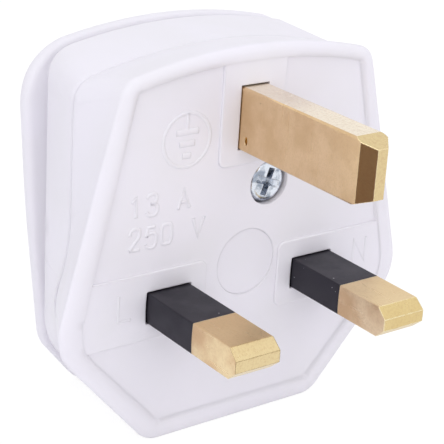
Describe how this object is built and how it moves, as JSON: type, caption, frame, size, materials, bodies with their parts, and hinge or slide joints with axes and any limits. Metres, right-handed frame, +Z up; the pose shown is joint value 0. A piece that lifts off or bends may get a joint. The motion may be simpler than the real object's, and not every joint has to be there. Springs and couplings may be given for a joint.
{
  "type": "uk three pin plug",
  "caption": "Rewirable fused mains plug: moulded case with a flared finger grip, rectangular brass pins with insulating sleeves, and a cord inlet at its foot.",
  "frame": {"origin": "on the foot's plane, midway between the sides and between the earth pin's tip and the back", "axes": "+Z up from the flat cord end, the earth pin on top; pins point along -Y; +X to the right seen from the pins"},
  "size_m": [0.0524, 0.0436, 0.0498],
  "materials": {
    "case_plastic": "satin white moulding",
    "pin_brass": "satin, lightly brushed",
    "sleeve_plastic": "satin black",
    "zinc_steel": "bright zinc plate",
    "cap_metal": "nickel plate",
    "fuse_ceramic": "unglazed",
    "fuse_copper": "tinned copper",
    "grip_plastic": "plain moulding",
    "washer_fibre": "red vulcanised fibre"
  },
  "bodies": {
    "root": {"base": "case_plastic", "cover": "case_plastic", "earth_pin": "pin_brass", "neutral_pin": "pin_brass", "line_pin": "pin_brass", "live_terminal": "pin_brass", "cover_insert": "pin_brass", "line_fuse_clip": "pin_brass", "load_fuse_clip": "pin_brass", "neutral_sleeve": "sleeve_plastic", "line_sleeve": "sleeve_plastic", "cover_screw": "zinc_steel", "earth_terminal_screw": "zinc_steel", "neutral_terminal_screw": "zinc_steel", "live_terminal_screw": "zinc_steel", "cord_grip_screw_left": "zinc_steel", "cord_grip_screw_right": "zinc_steel", "fuse_cap_lower": "cap_metal", "fuse_cap_upper": "cap_metal", "fuse_tube": "fuse_ceramic", "fuse_wire": "fuse_copper", "cord_grip_bar": "grip_plastic", "screw_washer": "washer_fibre"}
  },
  "joints": []
}
